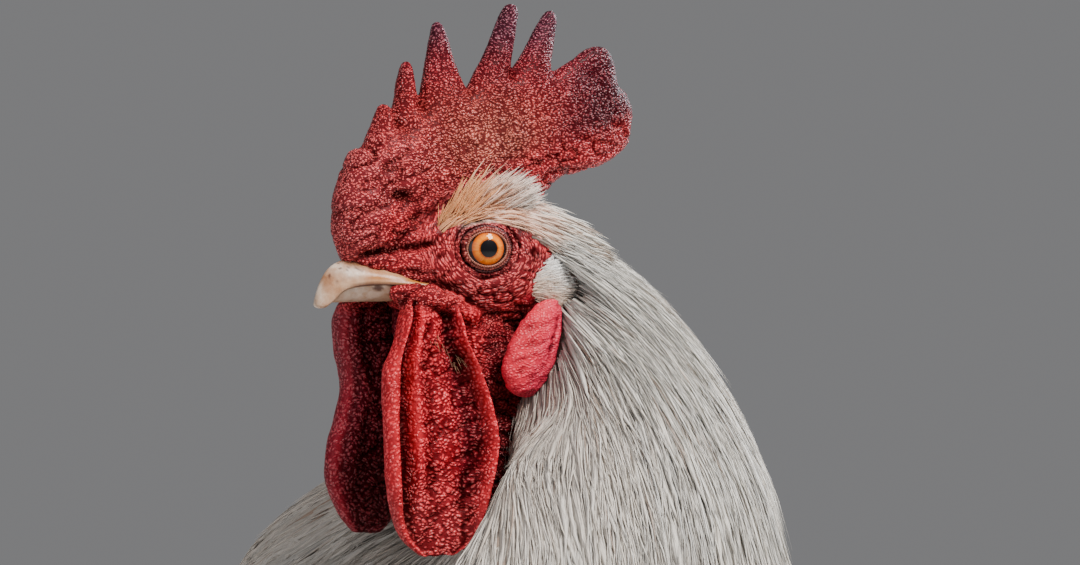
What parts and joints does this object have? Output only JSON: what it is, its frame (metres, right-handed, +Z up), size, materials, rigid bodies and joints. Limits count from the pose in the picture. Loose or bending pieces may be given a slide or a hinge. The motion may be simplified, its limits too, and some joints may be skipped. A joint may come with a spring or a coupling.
{
  "type": "rooster model",
  "caption": "Life-size still model of a white farmyard cock with a single comb, long wattles, a full neck hackle, folded wings and a sickle tail, standing on both feet.",
  "frame": {"origin": "on the floor, under the middle of the whole bird's bounding box", "axes": "+Z up, the bird faces -Y, its left side is +X"},
  "size_m": [0.1798, 0.5204, 0.5177],
  "materials": {
    "skin": "pebbled red bare skin",
    "beak": "horn, cream to ochre",
    "eye": "wet gloss, orange iris",
    "feather": "white and cream feathers",
    "scale": "pale yellow leg scales",
    "claw": "pale horn"
  },
  "bodies": {
    "root": {"head": "skin", "comb": "skin", "wattle_left": "skin", "wattle_right": "skin", "earlobe_left": "skin", "earlobe_right": "skin", "beak_upper": "beak", "beak_lower": "beak", "eye_left": "eye", "eye_right": "eye", "neck": "feather", "torso": "feather", "tail": "feather", "wing_left": "feather", "wing_right": "feather", "thigh_left": "feather", "thigh_right": "feather", "shank_left": "scale", "shank_right": "scale", "foot_left": "scale", "foot_right": "scale", "spur_left": "claw", "spur_right": "claw", "claw_left_inner": "claw", "claw_left_middle": "claw", "claw_left_outer": "claw", "claw_left_hind": "claw", "claw_right_inner": "claw", "claw_right_middle": "claw", "claw_right_outer": "claw", "claw_right_hind": "claw"}
  },
  "joints": []
}
